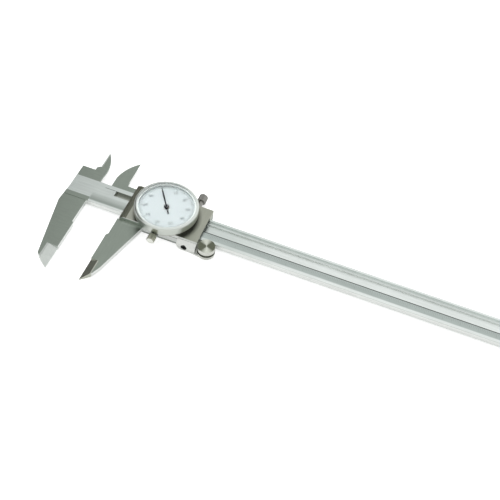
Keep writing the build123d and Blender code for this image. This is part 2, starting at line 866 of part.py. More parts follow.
def make_bezel_clamp():
    outer = -case_radius - clamp_block_width - 2 * thread_gap
    inner = -case_radius + overrun
    half = clamp_block_length / 2
    block = bar(-half, half, outer, inner, slider_front + seat_gap, bezel_base - seat_gap)
    block -= disc(case_radius + thread_gap, slider_front, bezel_base)
    return block - pin_along_y(clamp_screw_radius + turn_gap, outer, inner, 0, clamp_level)


def make_bezel_clamp_screw():
    neck = -bezel_radius - clamp_neck
    inner = -case_radius + case_wall + clamp_screw_bite
    head = knob(clamp_head_radius, neck - clamp_head_length, neck, 0, clamp_level)
    return head + pin_along_y(clamp_screw_radius, neck, inner, 0, clamp_level)


# Thumb roller and its bracket

def make_roller_bracket():
    """A block screwed to the slider's lower wall, with an arm under the roller."""
    face = -slider_bottom
    side = polygon((
        (face, bracket_base), (face, bracket_top), (face - bracket_top_depth, bracket_top),
        (bracket_outer, bracket_top - bracket_slope_height), (bracket_outer, bracket_base),
    ))
    block = Pos(bracket_left, 0, 0) * extrude(Plane.YZ * side, bracket_length, dir=(1, 0, 0))
    corner = block.edges().filter_by(Axis.Y).sort_by(Axis.Z)[:2].sort_by(Axis.X)[0]
    block = fillet(corner, bracket_corner)
    clear = slider_right + seat_gap
    root = clear - arm_root
    outline = polygon((
        (root, bracket_outer), (roller_x, roller_y - arm_radius), (roller_x, roller_y + arm_radius),
        (clear, roller_y + arm_radius), (clear, face), (root, face),
    )) + Pos(roller_x, roller_y) * Circle(arm_radius)
    bracket = block + plate(outline, bracket_base, bracket_base + arm_thickness)
    bracket -= disc(axle_radius, bracket_base, bracket_base + arm_thickness, roller_x, roller_y)
    bracket -= pin_along_y(bracket_screw_radius + thread_gap, bracket_outer, face,
                           bracket_screw_x, bracket_screw_z)
    seat = bracket_outer + bracket_head_sink + bracket_head_height
    return bracket - pin_along_y(bracket_head_radius + thread_gap, bracket_outer, seat,
                                 bracket_screw_x, bracket_screw_z)


def make_bracket_screw():
    top = bracket_outer + bracket_head_sink
    seat = top + bracket_head_height
    shank = pin_along_y(bracket_screw_radius, seat, -slider_bottom + bracket_screw_grip - seat_gap,
                        bracket_screw_x, bracket_screw_z)
    head = pin_along_y(bracket_head_radius, top, seat, bracket_screw_x, bracket_screw_z)
    middle = Pos(bracket_screw_x, top + socket_depth / 2, bracket_screw_z) * Rot(90, 0, 0)
    socket = extrude(RegularPolygon(socket_radius, 6), socket_depth / 2, both=True)
    return shank + head - middle * socket


def make_thumb_roller():
    """A spool with a narrow groove round its rim, sunk at the top for the axle's head."""
    bore = axle_radius + turn_gap
    sink = axle_head_radius + 2 * turn_gap
    sink_floor = roller_top - axle_head_height - seat_gap
    groove_radius = roller_radius - roller_groove_depth
    groove_high = roller_top - roller_groove_top
    groove_low = groove_high - roller_groove_width
    rim = roller_radius - edge_chamfer
    return Pos(roller_x, roller_y, 0) * turned((
        (bore, roller_base), (rim, roller_base), (roller_radius, roller_base + edge_chamfer),
        (roller_radius, groove_low), (groove_radius, groove_low), (groove_radius, groove_high),
        (roller_radius, groove_high), (roller_radius, roller_top - edge_chamfer), (rim, roller_top),
        (sink, roller_top), (sink, sink_floor), (bore, sink_floor),
    ))


def make_roller_axle():
    axle = disc(axle_radius, bracket_base, roller_top)
    axle += disc(axle_head_radius, roller_top - axle_head_height, roller_top)
    return Pos(roller_x, roller_y, 0) * axle


makers = {
    "beam": make_beam,
    "rack": make_rack,
    "rack_pins": make_rack_pins,
    "end_stop": make_end_stop,
    "end_stop_screws": make_end_stop_screws,
    "slider": make_slider,
    "gib_strip": make_gib_strip,
    "gib_screws": make_gib_screws,
    "lock_shoe": make_lock_shoe,
    "lock_screw": make_lock_screw,
    "back_plate": make_back_plate,
    "back_plate_screws": make_back_plate_screws,
    "depth_rod": make_depth_rod,
    "rod_rivets": make_rod_rivets,
    "dial_case": make_dial_case,
    "case_screws": make_case_screws,
    "bearing_bushes": make_bearing_bushes,
    "bridge_pillars": make_bridge_pillars,
    "movement_bridge": make_movement_bridge,
    "bridge_screws": make_bridge_screws,
    "rack_arbor": make_rack_arbor,
    "drive_wheel": make_drive_wheel,
    "scissor_wheel": make_scissor_wheel,
    "scissor_spring": make_scissor_spring,
    "centre_arbor": make_centre_arbor,
    "pointer": make_pointer,
    "bezel": make_bezel,
    "retaining_ring": make_retaining_ring,
    "dial_face": make_dial_face,
    "crystal": make_crystal,
    "bezel_clamp": make_bezel_clamp,
    "bezel_clamp_screw": make_bezel_clamp_screw,
    "roller_bracket": make_roller_bracket,
    "bracket_screw": make_bracket_screw,
    "thumb_roller": make_thumb_roller,
    "roller_axle": make_roller_axle,
}

os.makedirs("parts", exist_ok=True)
for name, maker in makers.items():
    made = maker()
    if isinstance(made, list):
        made = Compound(children=made)
    made.label = name
    export_step(made, os.path.join("parts", name + ".step"))
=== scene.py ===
import math

import bmesh
import bpy
from mathutils import Matrix, Quaternion, Vector


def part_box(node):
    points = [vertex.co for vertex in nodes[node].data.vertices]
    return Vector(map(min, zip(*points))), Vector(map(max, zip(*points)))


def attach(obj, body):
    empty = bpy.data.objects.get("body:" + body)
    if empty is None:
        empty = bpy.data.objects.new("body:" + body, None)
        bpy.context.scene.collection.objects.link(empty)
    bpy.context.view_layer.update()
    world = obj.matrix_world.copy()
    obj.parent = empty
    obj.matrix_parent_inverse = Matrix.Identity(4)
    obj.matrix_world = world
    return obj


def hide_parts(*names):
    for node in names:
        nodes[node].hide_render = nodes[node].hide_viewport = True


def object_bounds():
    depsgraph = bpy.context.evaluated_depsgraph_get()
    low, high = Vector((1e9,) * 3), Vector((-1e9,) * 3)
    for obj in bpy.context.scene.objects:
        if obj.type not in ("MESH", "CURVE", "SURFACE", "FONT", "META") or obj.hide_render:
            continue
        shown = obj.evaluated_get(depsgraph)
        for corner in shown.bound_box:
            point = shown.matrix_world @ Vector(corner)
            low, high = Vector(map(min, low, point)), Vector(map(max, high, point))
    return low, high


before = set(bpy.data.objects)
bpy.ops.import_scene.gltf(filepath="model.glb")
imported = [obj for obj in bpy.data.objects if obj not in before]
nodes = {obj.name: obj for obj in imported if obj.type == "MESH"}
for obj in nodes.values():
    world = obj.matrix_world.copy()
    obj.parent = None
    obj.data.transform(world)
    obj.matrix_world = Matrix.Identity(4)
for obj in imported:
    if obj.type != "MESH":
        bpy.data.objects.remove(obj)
cad_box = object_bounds()
scene = bpy.context.scene
scene.view_settings.view_transform = "Standard"
mm = 0.001


# Camera. It looks down on the caliper from its front right with a long lens and a slight
# roll, and the picture is square.
camera_place = Vector((123.23, -317.95, 403.53)) * mm
camera_aim = Vector((52.22, -3.54, 5.15)) * mm
camera_roll = math.radians(9.1)

camera_data = bpy.data.cameras.new("camera")
camera_data.sensor_width = 36.0
camera_data.lens = 66.05
camera = bpy.data.objects.new("camera", camera_data)
scene.collection.objects.link(camera)
look = (camera_aim - camera_place).to_track_quat("-Z", "Y")
roll = Quaternion((0, 0, 1), camera_roll)
camera.matrix_world = Matrix.LocRotScale(camera_place, look @ roll, None)
scene.camera = camera


# Floor, sky and lamp of a small product studio. The floor and the sky are white to the eye
# and in the metal. A broad soft lamp hangs overhead, and a grey card on the left is seen in
# the metal alone.
floor_half = 3.0
floor_colour = 0.82
floor_glow = 0.34
floor_glow_to_eye = 0.34
sky_light = 0.60
lamp_place = Vector((-0.25, 0.35, 0.9))
lamp_size = 0.7
lamp_power = 5.0
card_place = Vector((-0.27, 0.25, 0.20))
card_height = 0.36
card_length = 0.9


def add_node(tree, kind, **values):
    node = tree.nodes.new("ShaderNode" + kind)
    for name, value in values.items():
        setattr(node, name, value)
    return node


def calculate(tree, operation, first, second=None, clamp=False):
    """A Math node. Each of its two values is a socket or a number."""
    node = add_node(tree, "Math", operation=operation, use_clamp=clamp)
    for index, value in enumerate((first, second)):
        if isinstance(value, bpy.types.NodeSocket):
            tree.links.new(value, node.inputs[index])
        elif value is not None:
            node.inputs[index].default_value = value
    return node.outputs[0]


def see_or_mirror(tree):
    """1 for what the camera sees, straight or in metal, and else 0."""
    path = add_node(tree, "LightPath")
    return calculate(tree, "ADD", path.outputs["Is Camera Ray"], path.outputs["Is Glossy Ray"],
                     clamp=True)


def new_material(name):
    material = bpy.data.materials.new(name)
    material.use_nodes = True
    return material, material.node_tree, material.node_tree.nodes["Principled BSDF"]


def new_object(name, shape, material):
    """An object at the origin from a bmesh, which is freed."""
    bmesh.ops.recalc_face_normals(shape, faces=shape.faces)
    mesh = bpy.data.meshes.new(name)
    shape.to_mesh(mesh)
    shape.free()
    mesh.materials.append(material)
    made = bpy.data.objects.new(name, mesh)
    scene.collection.objects.link(made)
    return made


floor_paper, tree, paper = new_material("floor_paper")
paper.inputs["Base Color"].default_value = (floor_colour, floor_colour, floor_colour, 1)
paper.inputs["Roughness"].default_value = 0.9
paper.inputs["Specular IOR Level"].default_value = 0.0
glow = add_node(tree, "Emission")
seen = add_node(tree, "LightPath").outputs["Is Camera Ray"]
to_eye = calculate(tree, "MULTIPLY", seen, floor_glow_to_eye)
to_both = calculate(tree, "MULTIPLY", see_or_mirror(tree), floor_glow)
tree.links.new(calculate(tree, "ADD", to_eye, to_both), glow.inputs["Strength"])
both = add_node(tree, "AddShader")
tree.links.new(paper.outputs[0], both.inputs[0])
tree.links.new(glow.outputs[0], both.inputs[1])
tree.links.new(both.outputs[0], tree.nodes["Material Output"].inputs["Surface"])
shape = bmesh.new()
bmesh.ops.create_grid(shape, x_segments=1, y_segments=1, size=floor_half,
                      matrix=Matrix.Translation((0, 0, cad_box[0].z)))
new_object("floor", shape, floor_paper)

sky = bpy.data.worlds.new("sky")
scene.world = sky
sky.use_nodes = True
tree = sky.node_tree
lit = tree.nodes["Background"]
lit.inputs["Color"].default_value = (1, 1, 1, 1)
lit.inputs["Strength"].default_value = sky_light
white = add_node(tree, "Background")
white.inputs["Color"].default_value = (1, 1, 1, 1)
white.inputs["Strength"].default_value = 1.0
choice = add_node(tree, "MixShader")
tree.links.new(see_or_mirror(tree), choice.inputs["Fac"])
tree.links.new(lit.outputs[0], choice.inputs[1])
tree.links.new(white.outputs[0], choice.inputs[2])
tree.links.new(choice.outputs[0], tree.nodes["World Output"].inputs["Surface"])

lamp_data = bpy.data.lights.new("lamp_above", "AREA")
lamp_data.shape = "DISK"
lamp_data.size = lamp_size
lamp_data.energy = lamp_power
lamp = bpy.data.objects.new("lamp_above", lamp_data)
scene.collection.objects.link(lamp)
lamp_turn = (-lamp_place).to_track_quat("-Z", "Y")
lamp.matrix_world = Matrix.LocRotScale(lamp_place, lamp_turn, None)
lamp.visible_glossy = False
lamp.visible_camera = False

card_felt, tree, felt = new_material("card_felt")
felt.inputs["Base Color"].default_value = (0.12, 0.12, 0.11, 1)
felt.inputs["Roughness"].default_value = 1.0
card_turn = Matrix.Translation(card_place) @ Matrix.Rotation(math.radians(90), 4, "Y")
shape = bmesh.new()
bmesh.ops.create_grid(shape, x_segments=1, y_segments=1, size=0.5,
                      matrix=card_turn @ Matrix.Diagonal((card_height, card_length, 1, 1)))
card = new_object("grey_card", shape, card_felt)
card.visible_camera = False
card.visible_diffuse = False
card.visible_transmission = False
card.visible_shadow = False


# Beam with the fixed jaws, one piece of hardened stainless steel. The bar's face is ground
# along its length to a pale satin. The jaws are a duller satin, and their tips and the
# inside jaw's edge are ground once more.
def linear(red, green, blue):
    """A colour given as 0 to 255 on a screen, as light."""
    return tuple(((c / 255 + 0.055) / 1.055) ** 2.4 if c > 10 else c / 255 / 12.92
                 for c in (red, green, blue)) + (1.0,)


def grain(tree, stretch, scale, detail=2.0):
    """Noise drawn out by stretch, a vector in which 1 is across the grain and small is along it."""
    place = add_node(tree, "TexCoord")
    mapping = add_node(tree, "Mapping")
    mapping.inputs["Scale"].default_value = stretch
    noise = add_node(tree, "TexNoise")
    noise.inputs["Scale"].default_value = scale
    noise.inputs["Detail"].default_value = detail
    tree.links.new(place.outputs["Object"], mapping.inputs["Vector"])
    tree.links.new(mapping.outputs["Vector"], noise.inputs["Vector"])
    return noise.outputs["Fac"]


def spread(tree, value, low, high, start=0.3, end=0.7):
    """value from start to end becomes low to high."""
    ranged = add_node(tree, "MapRange")
    for name, number in (("From Min", start), ("From Max", end), ("To Min", low), ("To Max", high)):
        ranged.inputs[name].default_value = number
    tree.links.new(value, ranged.inputs["Value"])
    return ranged.outputs["Result"]


def mix_colours(tree, amount, first, second, how="MIX"):
    """Two colours mixed by amount. Each is a socket or a colour."""
    mix = add_node(tree, "Mix", data_type="RGBA", blend_type=how)
    for index, source in ((0, amount), (6, first), (7, second)):
        if isinstance(source, bpy.types.NodeSocket):
            tree.links.new(source, mix.inputs[index])
        else:
            mix.inputs[index].default_value = source
    return mix.outputs[2]


def inside(tree, soft=0.1, **limits):
    """1 between limits such as x=(low, high), in metres, where None is no limit, and 0 outside.

    soft is how wide each edge's change is, in millimetres.
    """
    place = add_node(tree, "TexCoord")
    axes = add_node(tree, "SeparateXYZ")
    tree.links.new(place.outputs["Object"], axes.inputs["Vector"])
    half = soft * mm / 2
    product = None
    for name, (low, high) in limits.items():
        axis = axes.outputs["xyz".index(name)]
        masks = []
        if low is not None:
            masks.append(spread(tree, axis, 0.0, 1.0, low - half, low + half))
        if high is not None:
            masks.append(spread(tree, axis, 1.0, 0.0, high - half, high + half))
        for mask in masks:
            product = mask if product is None else calculate(tree, "MULTIPLY", product, mask)
    return product


def lay_over(tree, colour, *layers):
    """A colour with layers over it, each a mask and its own colour."""
    for mask, layer in layers:
        colour = mix_colours(tree, mask, colour, layer)
    return colour


along_x = (0.02, 1.0, 1.0)
along_y = (1.0, 0.02, 1.0)
any_way = (1.0, 1.0, 1.0)
fine_scale = 5200.0
broad_scale = 900.0
mottle_scale = 90.0
scratch_depth = 0.02 * mm


def ground_metal(name, colour, lay=along_x, roughness=0.34, contrast=0.10, relief=0.25):
    """Metal with the fine parallel marks of a grinding wheel.

    colour is a colour, or a function that takes the node tree and gives a socket.
    """
    material, tree, shader = new_material(name)
    shader.inputs["Metallic"].default_value = 1.0
    if callable(colour):
        colour = colour(tree)
    fine = grain(tree, lay, fine_scale)
    broad = grain(tree, lay, broad_scale)
    streaks = spread(tree, broad, 1.0 - contrast, 1.0)
    marks = spread(tree, fine, 1.0 - contrast, 1.0)
    mottle = spread(tree, grain(tree, any_way, mottle_scale), 1.0 - contrast / 2, 1.0)
    wear = calculate(tree, "MULTIPLY", calculate(tree, "MULTIPLY", streaks, marks), mottle)
    tree.links.new(mix_colours(tree, 1.0, colour, wear, "MULTIPLY"), shader.inputs["Base Color"])
    tree.links.new(spread(tree, broad, roughness - 0.05, roughness + 0.07), shader.inputs["Roughness"])
    bump = add_node(tree, "Bump")
    bump.inputs["Strength"].default_value = relief
    bump.inputs["Distance"].default_value = scratch_depth
    tree.links.new(fine, bump.inputs["Height"])
    tree.links.new(bump.outputs["Normal"], shader.inputs["Normal"])
    return material


def give(material, *names):
    """The CAD pieces of those names take the material."""
    for name in names:
        nodes[name].data.materials.clear()
        nodes[name].data.materials.append(material)


bar_colour = linear(222, 230, 226)
# Painted highlight: the beam's face grows paler away from the slider's right-hand end, where the metal
# mirrors more light, and a paler strip runs along its lower edge left of the slider.
bar_highlight_colour = linear(240, 246, 243)
bar_lower_colour = linear(186, 196, 192)
bar_shade_colour = linear(160, 170, 163)
# Painted shade: the narrow slot between the jaws is painted dark, as it lies in shade.
slot_shade_colour = linear(178, 182, 174)
jaw_colour = linear(157, 167, 157)
# Painted reflection: side faces and the slider's wall are painted almost white, as they mirror the
# white floor.
side_reflection_colour = linear(238, 241, 238)
fixed_tip_colour = linear(214, 220, 215)
ear_edge_colour = linear(184, 191, 186)

beam_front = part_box("beam")[1].z
slider_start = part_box("back_plate")[0].x
slider_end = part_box("back_plate")[1].x
bar_half = 8.0 * mm
groove_edge = -1.7 * mm
fixed_face = -45.2 * mm
right_middle = slider_end + 30 * mm
shade_end = slider_start + 8 * mm
shade_low = -6.4 * mm
shade_high = -3.2 * mm
land_start = slider_start + 10 * mm
land_low = -6.1 * mm
pale_edge_high = -6.8 * mm
slot_start = fixed_face + 11.9 * mm
slot_end = slider_start + 4 * mm
slot_low = 1.2 * mm
slot_high = 5.3 * mm
jaw_finish_high = -bar_half + 3.1 * mm
ear_edge_end = fixed_face - 4.0 * mm
ear_edge_start = bar_half + 11 * mm
tip_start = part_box("beam")[0].y + 14.8 * mm
fixed_tip_width = 6.4 * mm


def beam_colour(tree):
    # Painted highlight: the face grows paler towards the right.
    right = inside(tree, 28.0, x=(right_middle, None))
    between_jaws = inside(tree, 1.0, x=(fixed_face, shade_end), y=(shade_low, None))
    shade = calculate(tree, "MULTIPLY", between_jaws, inside(tree, 6.0, y=(None, shade_high)))
    lower_land = inside(tree, 0.8, x=(land_start, None), y=(land_low, groove_edge))
    # Painted highlight along the lower edge, left of the slider.
    pale_edge = inside(tree, 0.5, x=(None, shade_end), y=(None, pale_edge_high))
    slot = inside(tree, x=(slot_start, slot_end), y=(slot_low, slot_high),
                  z=(None, beam_front - 0.1 * mm))
    outside_jaw = inside(tree, y=(None, -bar_half))
    jaw_root = inside(tree, x=(None, fixed_face), y=(None, jaw_finish_high))
    inside_jaw = inside(tree, y=(bar_half, None))
    ear_edge = inside(tree, x=(None, ear_edge_end), y=(ear_edge_start, None))
    sides = inside(tree, y=(None, -bar_half + 0.08 * mm), z=(None, beam_front - 0.3 * mm))
    tip = inside(tree, x=(fixed_face - fixed_tip_width, None), y=(None, tip_start))
    return lay_over(
        tree, mix_colours(tree, right, bar_colour, bar_highlight_colour),
        (shade, bar_shade_colour), (lower_land, bar_lower_colour), (pale_edge, bar_highlight_colour),
        (slot, slot_shade_colour), (outside_jaw, jaw_colour), (jaw_root, jaw_colour),
        (inside_jaw, jaw_colour), (ear_edge, ear_edge_colour), (sides, side_reflection_colour),
        (tip, fixed_tip_colour))


give(ground_metal("ground_beam_steel", beam_colour), "beam")


# The millimetre marks engraved on the beam's lower land, and two dark lines laid on the face,
# a long one along the groove's lower edge and a short one beside the slot. The marks are read
# at the slider's right-hand end.
ink_depth = 0.01 * mm
mark_width = 0.13 * mm
mark_lengths = {1: 1.7 * mm, 5: 2.3 * mm, 10: 2.9 * mm}
mark_top = groove_edge - 0.8 * mm
scale_zero = slider_end - 20 * mm
scale_length = 200
line_width = 0.46 * mm
short_line_start = fixed_face + 5 * mm
short_line_length = 7.2 * mm
short_line_y = 5.0 * mm


def print_ink(name, colour):
    material, tree, shader = new_material(name)
    shader.inputs["Base Color"].default_value = colour
    shader.inputs["Roughness"].default_value = 0.6
    return material


def add_bar(shape, low, high):
    """A box between two corners."""
    size = Vector(high) - Vector(low)
    middle = (Vector(high) + Vector(low)) / 2
    bmesh.ops.create_cube(shape, size=1.0, matrix=Matrix.LocRotScale(middle, None, size))


def mark_step(number):
    """10, 5 or 1, the largest of them that number is a multiple of."""
    return 10 if number % 10 == 0 else 5 if number % 5 == 0 else 1


shape = bmesh.new()
for number in range(scale_length + 1):
    x = scale_zero + number * mm
    add_bar(shape, (x - mark_width / 2, mark_top - mark_lengths[mark_step(number)], beam_front),
            (x + mark_width / 2, mark_top, beam_front + ink_depth))
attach(new_object("beam_marks", shape, print_ink("mark_ink", linear(140, 148, 144))), "beam")

shape = bmesh.new()
add_bar(shape, (shade_end, groove_edge - line_width, beam_front),
        (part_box("beam")[1].x - 0.1 * mm, groove_edge, beam_front + ink_depth))
add_bar(shape, (short_line_start, short_line_y, beam_front),
        (short_line_start + short_line_length, short_line_y + line_width / 2, beam_front + ink_depth))
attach(new_object("groove_lines", shape, print_ink("groove_line_dark", linear(22, 26, 24))), "beam")


# Rack, a thin strip of hardened steel with its teeth cut along one edge. It lies in the
# beam's groove, where small pins hold it.
rack_top_colour = linear(228, 234, 231)
# Painted light: the rack's flank is painted almost white so that it shows no shade from the groove.
rack_flank_lit_colour = linear(252, 254, 252)


def rack_colour(tree):
    flank = inside(tree, z=(None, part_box("rack")[1].z - 0.1 * mm))
    return mix_colours(tree, flank, rack_top_colour, rack_flank_lit_colour)


give(ground_metal("rack_steel", rack_colour, along_x, 0.36), "rack", "rack_pins")


# Slider with the moving jaws, one casting ground all over. The plate under the dial has a
# warm grey satin with marks across the beam. The bezel's shadow is painted on the plate beside
# it, and painted shade darkens a strip at the reading edge on its left. The jaws match the fixed ones.
plate_colour = linear(172, 175, 162)
plate_left_colour = linear(180, 183, 171)
reading_strip_shade_colour = linear(112, 115, 102)
reading_bevel_colour = linear(186, 189, 172)
moving_tip_colour = linear(196, 200, 188)
jaw_by_wall_lit_colour = linear(180, 189, 180)
bezel_shadow_colour = linear(112, 114, 105)
end_shade_colour = linear(70, 72, 66)

bezel_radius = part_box("bezel")[1].x
slider_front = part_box("dial_case")[0].z
plate_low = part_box("back_plate")[0].y
moving_face = -25.2 * mm
moving_tip_width = 4.5 * mm
strip_width = 3.9 * mm
reading_bevel_width = 2.6 * mm
jaw_by_wall_width = 2.2 * mm
above_jaw_end = -4.0 * mm
bezel_shadow_shift = 1.0 * mm
bezel_shadow_start = bezel_radius - 0.6 * mm
bezel_shadow_end = bezel_radius + 1.8 * mm


def from_axis(tree, x=0.0, y=0.0):
    """Distance in plan from the dial's axis, or from a point x, y beside it, in metres."""
    place = add_node(tree, "TexCoord")
    axes = add_node(tree, "SeparateXYZ")
    tree.links.new(place.outputs["Object"], axes.inputs["Vector"])
    squares = []
    for index, middle in enumerate((x, y)):
        along = calculate(tree, "SUBTRACT", axes.outputs[index], middle)
        squares.append(calculate(tree, "MULTIPLY", along, along))
    return calculate(tree, "SQRT", calculate(tree, "ADD", *squares))


def slider_colour(tree):
    left = inside(tree, 20.0, x=(None, 0.0))
    # Painted shadow of the bezel on the plate, shifted to its lower right.
    bezel_shadow = spread(tree, from_axis(tree, bezel_shadow_shift, -bezel_shadow_shift),
                         1.0, 0.0, bezel_shadow_start, bezel_shadow_end)
    # Painted shade: the slider's right-hand end face is dark, as the gap to the beam lies in shade.
    end = inside(tree, x=(slider_end - 0.1 * mm, None), y=(-bar_half, bar_half - 1 * mm))
    # Painted shade: a dark strip on the plate beside the reading bevel.
    strip = inside(tree, x=(slider_start, slider_start + strip_width))
    reading_bevel = inside(tree, x=(slider_start, slider_start + reading_bevel_width),
                           z=(None, slider_front - 0.05 * mm))
    jaws = inside(tree, 0.05, y=(None, plate_low - 0.05 * mm))
    # Painted light: the jaw face beside the slider's wall is lightened against the wall's shade, and
    # the wall above the jaw takes the same colour in place of its painted reflection.
    by_wall = inside(tree, 1.5, x=(slider_start + 2 * mm, None),
                     y=(plate_low - jaw_by_wall_width, plate_low + 1 * mm))
    jaw_by_wall = calculate(tree, "MULTIPLY", by_wall, jaws)
    inside_jaw = inside(tree, 0.05, z=(None, beam_front - 1.5 * mm), y=(bar_half + 0.1 * mm, None))
    sides = inside(tree, y=(None, plate_low + 0.08 * mm), z=(None, beam_front - 0.3 * mm))
    wall = inside(tree, 0.05, y=(None, plate_low + 0.1 * mm),
                  z=(beam_front, slider_front - 0.02 * mm))
    above_jaw = inside(tree, 0.05, x=(None, above_jaw_end), z=(None, slider_front - 0.5 * mm))
    wall_above_jaw = calculate(tree, "MULTIPLY", wall, above_jaw)
    tip = inside(tree, x=(None, moving_face + moving_tip_width), y=(None, tip_start))
    return lay_over(
        tree, mix_colours(tree, left, plate_colour, plate_left_colour),
        (bezel_shadow, bezel_shadow_colour), (end, end_shade_colour), (strip, reading_strip_shade_colour),
        (reading_bevel, reading_bevel_colour), (jaws, jaw_colour),
        (jaw_by_wall, jaw_by_wall_lit_colour), (inside_jaw, jaw_colour), (sides, side_reflection_colour),
        (wall, side_reflection_colour), (wall_above_jaw, jaw_by_wall_lit_colour), (tip, moving_tip_colour))


give(ground_metal("ground_slider_steel", slider_colour, along_y, 0.36), "slider")


# Plain steel pieces at the back, in the walls and under the dial, such as the screws, the
# back plate and the depth rod. They are turned, drawn or stamped, and left bright.
plain_steel = ground_metal("plain_steel", linear(172, 177, 172), along_x, 0.4)
give(plain_steel, "gib_screws", "end_stop", "end_stop_screws", "back_plate", "back_plate_screws",
     "depth_rod", "rod_rivets", "case_screws", "bridge_screws", "retaining_ring", "scissor_spring",
     "rack_arbor")


# Brass wheels, bushes, pillars and bridge under the dial, and the brass gib and lock shoe
# in the slider. They are turned or cut, and left bare.
brass = ground_metal("brass", linear(205, 170, 95), any_way, 0.3)
give(brass, "bearing_bushes", "bridge_pillars", "movement_bridge", "drive_wheel", "scissor_wheel",
     "gib_strip", "lock_shoe")


# Dial case, a shallow cup that is turned and plated. It is screwed to the slider, and the
# bezel turns on it.
give(ground_metal("case_metal", linear(190, 192, 184), any_way, 0.35), "dial_case")


# Bezel, a ring turned from brass and plated with satin nickel. Its bore round the dial face
# is enamelled white, and its left-hand side has a painted highlight.
bezel_side_colour = linear(196, 201, 194)
bezel_left_light_colour = linear(238, 242, 238)
bezel_top_colour = linear(216, 222, 217)
enamel_colour = linear(204, 211, 208)
bezel_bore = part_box("crystal")[1].x
bezel_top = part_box("bezel")[1].z - 0.4 * mm
bezel_left_middle = -9 * mm

bezel_plating, tree, shader = new_material("bezel_plating")
outside = spread(tree, from_axis(tree), 0.0, 1.0, bezel_bore + 0.02 * mm, bezel_bore + 0.06 * mm)
# Painted highlight on the bezel's left-hand side.
nickel = lay_over(tree, bezel_side_colour,
                  (inside(tree, 12.0, x=(None, bezel_left_middle)), bezel_left_light_colour),
                  (inside(tree, z=(bezel_top, None)), bezel_top_colour))
tree.links.new(mix_colours(tree, outside, enamel_colour, nickel), shader.inputs["Base Color"])
tree.links.new(outside, shader.inputs["Metallic"])
shader.inputs["Roughness"].default_value = 0.28
give(bezel_plating, "bezel")


# Dial face, a thin disc enamelled white. It turns with the bezel, so that its zero can be
# set under the pointer.
dial_enamel, tree, shader = new_material("dial_enamel")
shader.inputs["Base Color"].default_value = linear(175, 184, 185)
shader.inputs["Roughness"].default_value = 0.5
shader.inputs["Specular IOR Level"].default_value = 0.2
give(dial_enamel, "dial_face")


# The print on the dial: a hundred marks and the numbers from 0 to 90. The zero stands
# under the pointer, and all numbers are upright with it.
dial_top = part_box("dial_face")[1].z
zero_turn = math.radians(33.7)
mark_ring = 15.5 * mm
dial_marks = 100
dial_mark_lengths = {1: 1.4 * mm, 5: 1.8 * mm, 10: 2.2 * mm}
dial_mark_widths = {1: 0.16 * mm, 5: 0.22 * mm, 10: 0.22 * mm}
number_ring = 11.9 * mm
number_height = 2.7 * mm
dial_ink = print_ink("dial_ink", linear(58, 66, 68))

shape = bmesh.new()
for number in range(dial_marks):
    length = dial_mark_lengths[mark_step(number)]
    width = dial_mark_widths[mark_step(number)]
    turn = Matrix.Rotation(zero_turn - math.tau * number / dial_marks, 4, "Z")
    middle = Vector((0, mark_ring - length / 2, dial_top + ink_depth / 2))
    bmesh.ops.create_cube(shape, size=1.0, matrix=turn @ Matrix.LocRotScale(
        middle, None, Vector((width, length, ink_depth))))


def add_text(shape, text, place, height, turn):
    """A flat number with its middle at place."""
    curve = bpy.data.curves.new("number_" + text, "FONT")
    curve.body = text
    curve.align_x = "CENTER"
    curve.align_y = "CENTER"
    curve.size = height
    curve.extrude = ink_depth / 2
    curve.resolution_u = 3
    drawn = bpy.data.objects.new("number_" + text, curve)
    mesh = bpy.data.meshes.new_from_object(drawn)
    mesh.transform(Matrix.Translation(place) @ Matrix.Rotation(turn, 4, "Z"))
    shape.from_mesh(mesh)
    bpy.data.meshes.remove(mesh)
    bpy.data.objects.remove(drawn)
    bpy.data.curves.remove(curve)


for number in range(10):
    turn = Matrix.Rotation(zero_turn - math.tau * number / 10, 3, "Z")
    place = turn @ Vector((0, number_ring, 0)) + Vector((0, 0, dial_top + ink_depth / 2))
    add_text(shape, str(10 * number), place, number_height, zero_turn)
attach(new_object("dial_print", shape, dial_ink), "bezel")


# Pointer and its arbor, lacquered black. The pointer is pressed on the arbor's end in the
# middle of the dial.
black_lacquer, tree, shader = new_material("black_lacquer")
shader.inputs["Base Color"].default_value = linear(22, 24, 28)
shader.inputs["Roughness"].default_value = 0.5
shader.inputs["Specular IOR Level"].default_value = 0.2
give(black_lacquer, "pointer", "centre_arbor")


# Crystal, a clear flat disc with a small bevel, bloomed so that it mirrors little. It
# stands for the CAD crystal and is a hair smaller, so that it touches nothing.
glass_gap = 0.03 * mm
glass_bevel = 0.15 * mm
low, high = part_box("crystal")
glass_radius = high.x - glass_gap
glass_thickness = high.z - low.z - glass_gap

crystal_clear, tree, shader = new_material("crystal_clear")
shader.inputs["Base Color"].default_value = (1, 1, 1, 1)
shader.inputs["Roughness"].default_value = 0.02
shader.inputs["IOR"].default_value = 1.12
shader.inputs["Transmission Weight"].default_value = 1.0
path = add_node(tree, "LightPath")
clear = add_node(tree, "BsdfTransparent")
mix = add_node(tree, "MixShader")
tree.links.new(path.outputs["Is Shadow Ray"], mix.inputs["Fac"])
tree.links.new(shader.outputs[0], mix.inputs[1])
tree.links.new(clear.outputs[0], mix.inputs[2])
tree.links.new(mix.outputs[0], tree.nodes["Material Output"].inputs["Surface"])

shape = bmesh.new()
middle = Matrix.Translation((0, 0, high.z - glass_thickness / 2))
bmesh.ops.create_cone(shape, cap_ends=True, segments=128, radius1=glass_radius,
                      radius2=glass_radius, depth=glass_thickness, matrix=middle)
rim = [edge for edge in shape.edges if all(vertex.co.z > high.z - glass_bevel for vertex in edge.verts)]
bmesh.ops.bevel(shape, geom=rim, offset=glass_bevel, segments=1, profile=0.5, material=-1,
                affect="EDGES")
glass = new_object("clear_crystal", shape, crystal_clear)
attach(glass, "bezel")
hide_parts("crystal")


